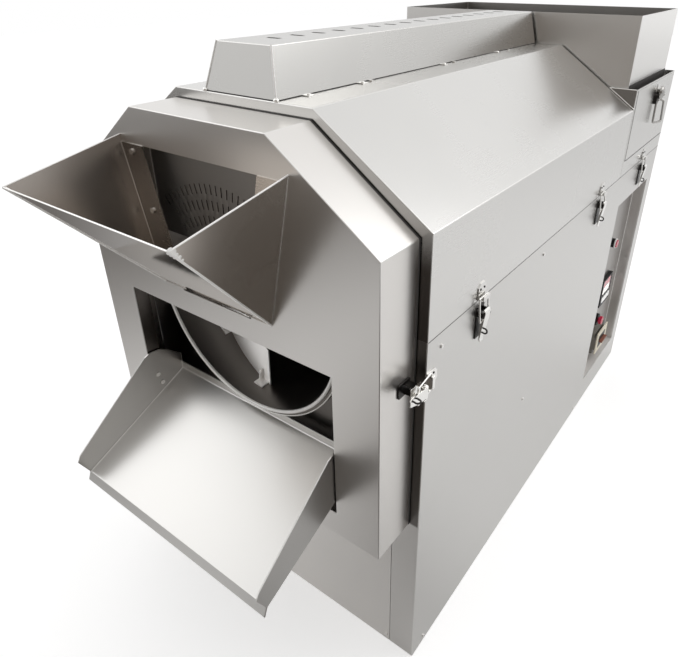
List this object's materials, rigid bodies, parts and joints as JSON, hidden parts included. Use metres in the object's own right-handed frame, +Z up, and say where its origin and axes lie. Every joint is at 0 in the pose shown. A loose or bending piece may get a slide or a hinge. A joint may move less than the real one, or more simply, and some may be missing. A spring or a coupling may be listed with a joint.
{
  "type": "drum roasting machine",
  "caption": "Free-standing stainless drum roaster with hinged hood, front cover with feed hopper and sloping discharge tray, rear flue box and side controls.",
  "frame": {"origin": "centre of the base, on the floor", "axes": "+Z up, +Y towards the flue box at the rear, +X towards the side with the controls and latches"},
  "size_m": [0.749, 1.6891, 1.181],
  "materials": {
    "base_frame": "satin stainless",
    "right_side_panel": "brushed stainless sheet",
    "left_side_panel": "brushed stainless sheet",
    "front_plate": "brushed stainless sheet",
    "lower_front_panel": "brushed stainless sheet",
    "rear_panel": "brushed stainless sheet",
    "bulkhead": "satin stainless",
    "lower_liner": "mill-finish stainless, heat toned",
    "lower_insulation": "ceramic fibre blanket",
    "heating_elements": "oxidised sheath",
    "control_pan": "brushed stainless sheet",
    "temperature_controller": "matte black",
    "controller_display": "dark red window",
    "controller_keys": "pale membrane keys",
    "indicator_lamp": "bright ring",
    "lamp_lens": "red lens",
    "stop_button_base": "matte black",
    "breaker": "cream moulding",
    "drive_motor": "satin paint",
    "gearbox": "satin paint",
    "rear_bearing": "painted casting",
    "roller_pins": "satin stainless",
    "panel_screws": "bright fasteners",
    "hinge_leaves": "polished stainless",
    "latch_bases": "polished stainless",
    "cover_keeper": "polished stainless",
    "drum_shell": "mill-finish stainless, heat toned",
    "drum_rear_disc": "mill-finish stainless, heat toned",
    "drum_shaft": "ground bar",
    "drum_flight": "mill-finish stainless, heat toned",
    "support_roller_left": "turned",
    "support_roller_right": "turned",
    "hood_shell": "brushed stainless sheet",
    "hood_liner": "mill-finish stainless, heat toned",
    "hood_insulation": "ceramic fibre blanket",
    "top_duct": "brushed stainless sheet",
    "duct_screws": "bright fasteners",
    "hood_hardware": "polished stainless",
    "rear_deck": "brushed stainless sheet",
    "flue_box": "brushed stainless sheet",
    "deck_hardware": "polished stainless",
    "front_cover": "brushed stainless sheet",
    "perforated_plate": "brushed stainless sheet",
    "feed_hopper": "brushed stainless sheet",
    "cover_screws": "bright fasteners",
    "cover_hinges": "polished stainless",
    "discharge_tray": "brushed stainless sheet",
    "cover_latch_base": "polished stainless",
    "front_latch_lever": "polished stainless",
    "rear_latch_lever": "polished stainless",
    "deck_latch_lever": "polished stainless",
    "cover_latch_lever": "polished stainless",
    "front_latch_bail": "bright wire",
    "rear_latch_bail": "bright wire",
    "deck_latch_bail": "bright wire",
    "cover_latch_bail": "bright wire",
    "flue_latch_bail": "bright wire",
    "stop_button": "red",
    "breaker_toggle": "dark"
  },
  "bodies": {
    "machine": {"base_frame": "base_frame", "right_side_panel": "right_side_panel", "left_side_panel": "left_side_panel", "front_plate": "front_plate", "lower_front_panel": "lower_front_panel", "rear_panel": "rear_panel", "bulkhead": "bulkhead", "lower_liner": "lower_liner", "lower_insulation": "lower_insulation", "heating_elements": "heating_elements", "control_pan": "control_pan", "temperature_controller": "temperature_controller", "controller_display": "controller_display", "controller_keys": "controller_keys", "indicator_lamp": "indicator_lamp", "lamp_lens": "lamp_lens", "stop_button_base": "stop_button_base", "breaker": "breaker", "drive_motor": "drive_motor", "gearbox": "gearbox", "rear_bearing": "rear_bearing", "roller_pins": "roller_pins", "panel_screws": "panel_screws", "hinge_leaves": "hinge_leaves", "latch_bases": "latch_bases", "cover_keeper": "cover_keeper"},
    "drum": {"drum_shell": "drum_shell", "drum_rear_disc": "drum_rear_disc", "drum_shaft": "drum_shaft", "drum_flight": "drum_flight"},
    "left_roller": {"support_roller_left": "support_roller_left"},
    "right_roller": {"support_roller_right": "support_roller_right"},
    "hood": {"hood_shell": "hood_shell", "hood_liner": "hood_liner", "hood_insulation": "hood_insulation", "top_duct": "top_duct", "duct_screws": "duct_screws", "hood_hardware": "hood_hardware"},
    "deck": {"rear_deck": "rear_deck", "flue_box": "flue_box", "deck_hardware": "deck_hardware"},
    "cover": {"front_cover": "front_cover", "perforated_plate": "perforated_plate", "feed_hopper": "feed_hopper", "cover_screws": "cover_screws", "cover_hinges": "cover_hinges", "discharge_tray": "discharge_tray", "cover_latch_base": "cover_latch_base"},
    "front_lever": {"front_latch_lever": "front_latch_lever"},
    "rear_lever": {"rear_latch_lever": "rear_latch_lever"},
    "deck_lever": {"deck_latch_lever": "deck_latch_lever"},
    "cover_lever": {"cover_latch_lever": "cover_latch_lever"},
    "front_bail": {"front_latch_bail": "front_latch_bail"},
    "rear_bail": {"rear_latch_bail": "rear_latch_bail"},
    "deck_bail": {"deck_latch_bail": "deck_latch_bail"},
    "cover_bail": {"cover_latch_bail": "cover_latch_bail"},
    "flue_bail": {"flue_latch_bail": "flue_latch_bail"},
    "stop_cap": {"stop_button": "stop_button"},
    "toggle": {"breaker_toggle": "breaker_toggle"}
  },
  "joints": [
    {"name": "drum_spin", "type": "hinge", "parent": "machine", "child": "drum", "pos_m": [0, -0.2975, 0.752], "axis": [0, 1, 0], "continuous": true},
    {"name": "left_roller_spin", "type": "hinge", "parent": "machine", "child": "left_roller", "pos_m": [-0.13984, -0.6475, 0.55229], "axis": [0, 1, 0], "continuous": true},
    {"name": "right_roller_spin", "type": "hinge", "parent": "machine", "child": "right_roller", "pos_m": [0.13984, -0.6475, 0.55229], "axis": [0, 1, 0], "continuous": true},
    {"name": "hood_hinge", "type": "hinge", "parent": "machine", "child": "hood", "pos_m": [-0.366, -0.2135, 0.787], "axis": [0, -1, 0], "range_deg": [0, 75]},
    {"name": "deck_hinge", "type": "hinge", "parent": "machine", "child": "deck", "pos_m": [-0.366, 0.4925, 0.787], "axis": [0, -1, 0], "range_deg": [0, 60]},
    {"name": "cover_hinge", "type": "hinge", "parent": "machine", "child": "cover", "pos_m": [-0.35, -0.7055, 0.6], "axis": [0, 0, -1], "range_deg": [0, 95]},
    {"name": "front_latch_lift", "type": "hinge", "parent": "machine", "child": "front_lever", "pos_m": [0.372, -0.5265, 0.762], "axis": [0, -1, 0], "range_deg": [0, 90]},
    {"name": "front_bail_swing", "type": "hinge", "parent": "front_lever", "child": "front_bail", "pos_m": [0.37, -0.5265, 0.749], "axis": [0, -1, 0], "range_deg": [-67.5, 0]},
    {"name": "rear_latch_lift", "type": "hinge", "parent": "machine", "child": "rear_lever", "pos_m": [0.372, 0.1205, 0.762], "axis": [0, -1, 0], "range_deg": [0, 90]},
    {"name": "rear_bail_swing", "type": "hinge", "parent": "rear_lever", "child": "rear_bail", "pos_m": [0.37, 0.1205, 0.749], "axis": [0, -1, 0], "range_deg": [-67.5, 0]},
    {"name": "deck_latch_lift", "type": "hinge", "parent": "machine", "child": "deck_lever", "pos_m": [0.372, 0.5075, 0.762], "axis": [0, -1, 0], "range_deg": [0, 90]},
    {"name": "deck_bail_swing", "type": "hinge", "parent": "deck_lever", "child": "deck_bail", "pos_m": [0.37, 0.5075, 0.749], "axis": [0, -1, 0], "range_deg": [-67.5, 0]},
    {"name": "cover_latch_lift", "type": "hinge", "parent": "cover", "child": "cover_lever", "pos_m": [0.372, -0.7235, 0.702], "axis": [0, 0, 1], "range_deg": [0, 90]},
    {"name": "cover_bail_swing", "type": "hinge", "parent": "cover_lever", "child": "cover_bail", "pos_m": [0.37, -0.7365, 0.702], "axis": [0, 0, 1], "range_deg": [-67.5, 0]},
    {"name": "flue_bail_swing", "type": "hinge", "parent": "deck", "child": "flue_bail", "pos_m": [0.366, 0.5145, 0.955], "axis": [0, -1, 0], "range_deg": [0, 90]},
    {"name": "stop_press", "type": "slide", "parent": "machine", "child": "stop_cap", "axis": [-1, 0, 0], "range_m": [0, 0.004], "stiffness_N_per_m": 400},
    {"name": "breaker_toggle_tip", "type": "hinge", "parent": "machine", "child": "toggle", "pos_m": [0.346, 0.5025, 0.163], "axis": [0, 1, 0], "range_deg": [-24, 24]}
  ],
  "couplings": [
    {"joint": "left_roller_spin", "follows": "drum_spin", "ratio": -8.74},
    {"joint": "right_roller_spin", "follows": "drum_spin", "ratio": -8.74},
    {"joint": "front_bail_swing", "follows": "front_latch_lift", "ratio": -0.75},
    {"joint": "rear_bail_swing", "follows": "rear_latch_lift", "ratio": -0.75},
    {"joint": "deck_bail_swing", "follows": "deck_latch_lift", "ratio": -0.75},
    {"joint": "cover_bail_swing", "follows": "cover_latch_lift", "ratio": -0.75}
  ]
}
